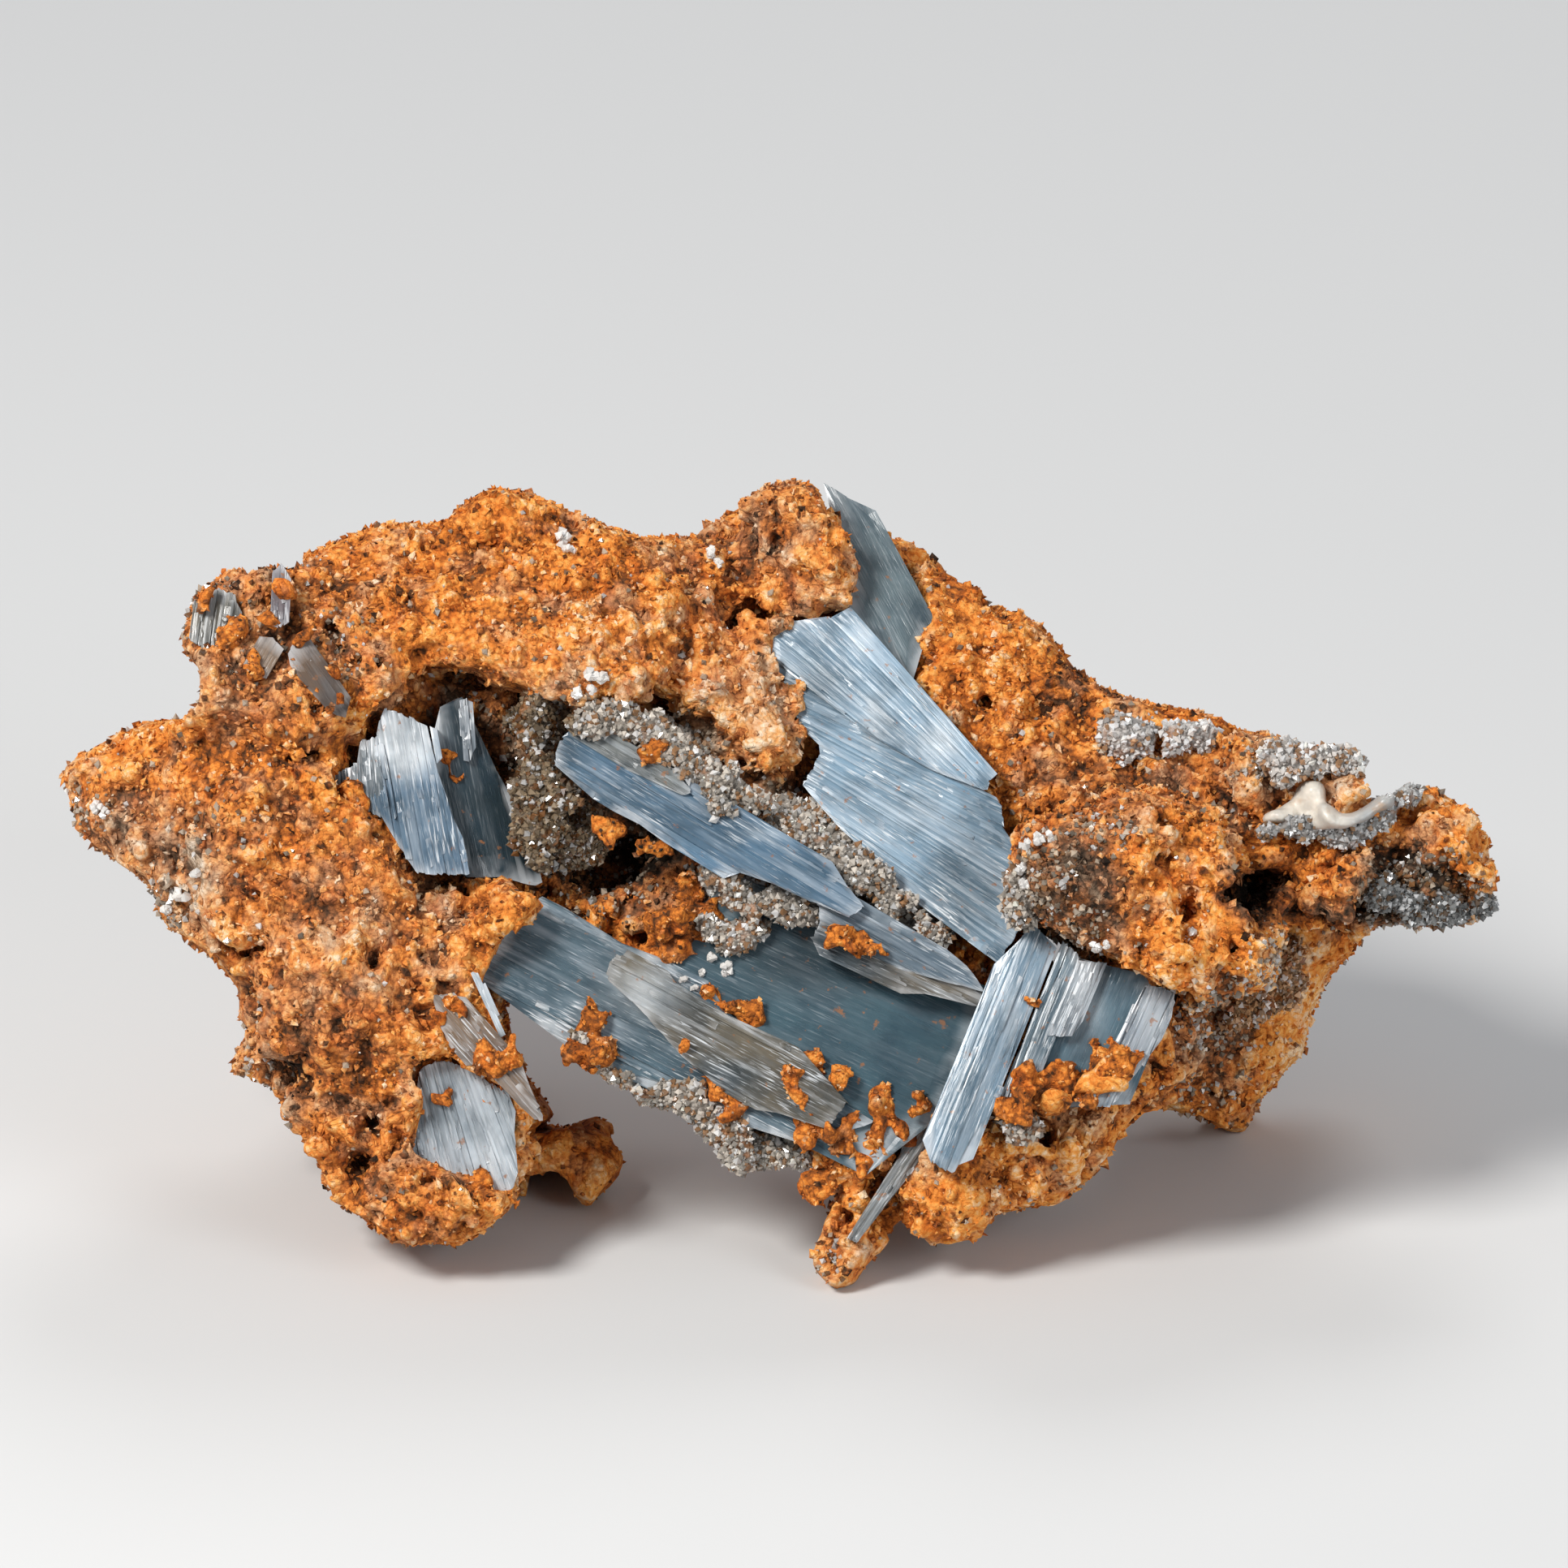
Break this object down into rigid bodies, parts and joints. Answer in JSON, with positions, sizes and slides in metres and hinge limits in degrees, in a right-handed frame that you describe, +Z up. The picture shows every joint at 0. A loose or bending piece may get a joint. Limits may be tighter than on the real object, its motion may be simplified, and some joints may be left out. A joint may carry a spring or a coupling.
{
  "type": "barite blade specimen",
  "caption": "Mineral specimen: fanned blue-grey barite blades and grey quartz crusts in an orange limonite matrix, resting on the points of its lower edge.",
  "frame": {"origin": "middle of the outer box, on the table that the specimen rests on", "axes": "+X to the viewer's right, -Y towards the viewer of the display face, +Z up"},
  "size_m": [0.1002, 0.0467, 0.0474],
  "materials": {
    "limonite": "earthy, porous, matte orange to brown",
    "barite": "striated blue-grey blades, satin to vitreous, slightly translucent",
    "barite_coated": "grey-brown blades under a thin iron stain",
    "quartz": "grey-white drusy crystals, glassy"
  },
  "bodies": {
    "root": {"limonite_matrix": "limonite", "limonite_crust_block": "limonite", "barite_fan_large": "barite", "barite_blade_middle": "barite", "barite_slab_lower": "barite", "barite_blade_left": "barite", "barite_fan_lower_left": "barite", "barite_spear_left": "barite", "barite_needle_left": "barite", "barite_prism_right": "barite", "barite_block_right": "barite", "barite_plate_knob_1": "barite_coated", "barite_plate_knob_2": "barite_coated", "barite_plate_knob_3": "barite_coated", "barite_plate_knob_4": "barite_coated", "quartz_seam": "quartz", "quartz_pocket": "quartz", "quartz_shelf": "quartz", "quartz_lower_edge": "quartz", "quartz_knob_1": "quartz", "quartz_knob_2": "quartz", "quartz_knob_arm": "quartz", "quartz_band_right": "quartz", "quartz_ridge_white": "quartz", "quartz_arm_underside": "quartz"}
  },
  "joints": []
}
